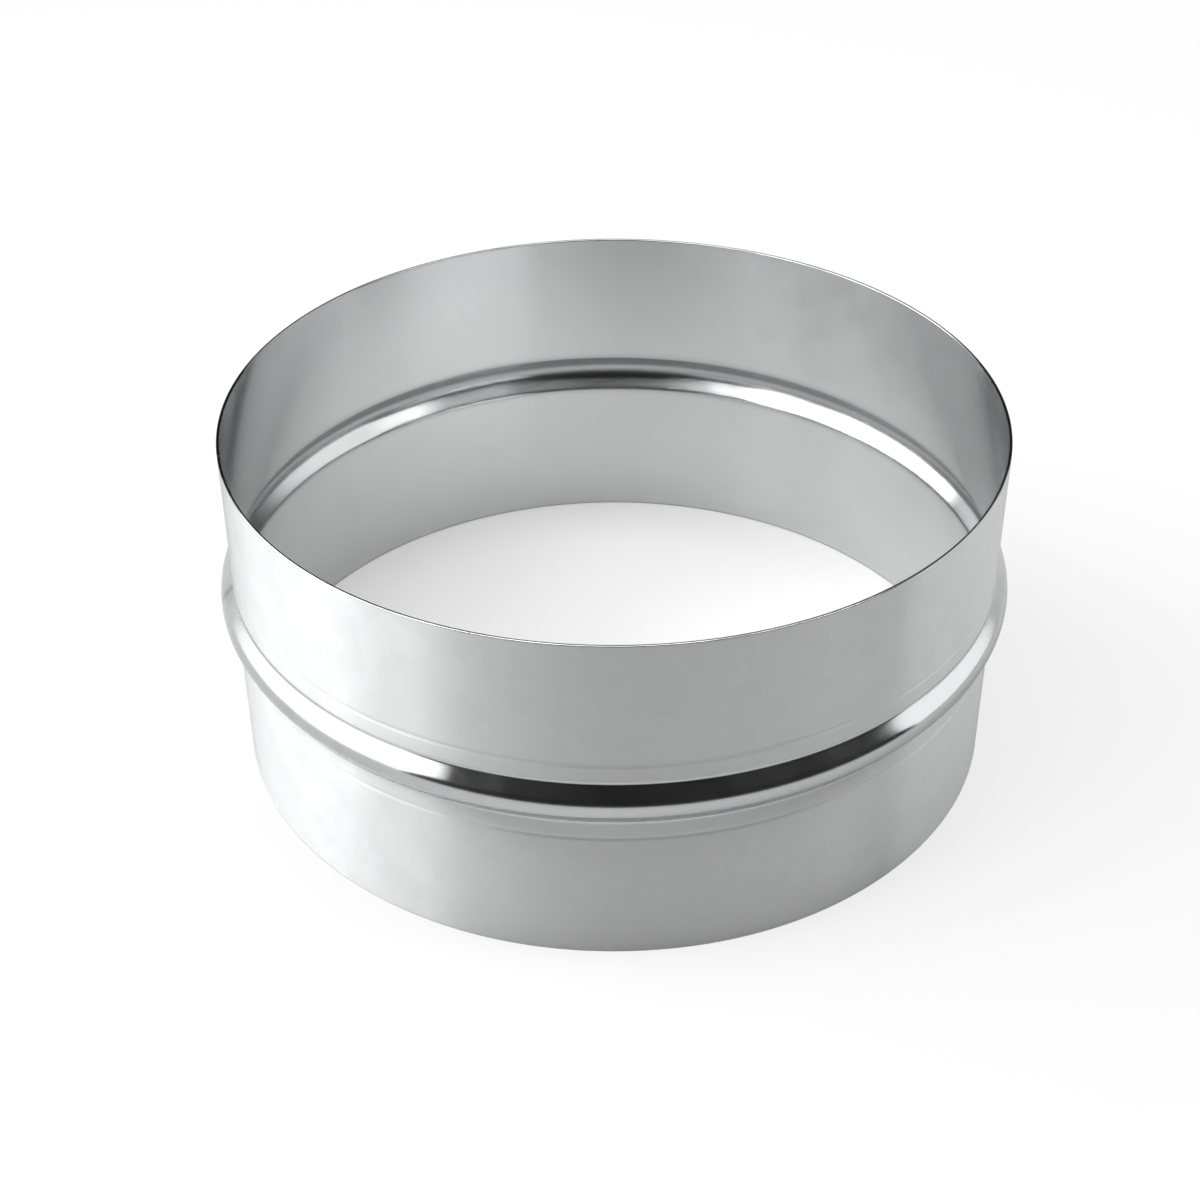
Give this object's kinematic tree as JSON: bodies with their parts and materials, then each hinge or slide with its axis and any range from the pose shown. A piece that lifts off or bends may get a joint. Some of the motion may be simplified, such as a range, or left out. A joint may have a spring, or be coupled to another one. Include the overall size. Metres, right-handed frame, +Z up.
{
  "type": "duct connector",
  "caption": "Round male duct connector: a thin sheet-steel ring whose straight spigots push into duct ends up to a rolled stop bead around its middle.",
  "frame": {"origin": "centre of the lower rim, on the surface that the connector stands on", "axes": "+Z up along the duct's axis; the ring is the same all round, so +X and +Y are free"},
  "size_m": [0.1644, 0.1644, 0.0725],
  "materials": {
    "sheet_steel": "bright satin zinc-coated sheet, smoother where the rolls pressed the bead"
  },
  "bodies": {
    "root": {"connector_sleeve": "sheet_steel"}
  },
  "joints": []
}
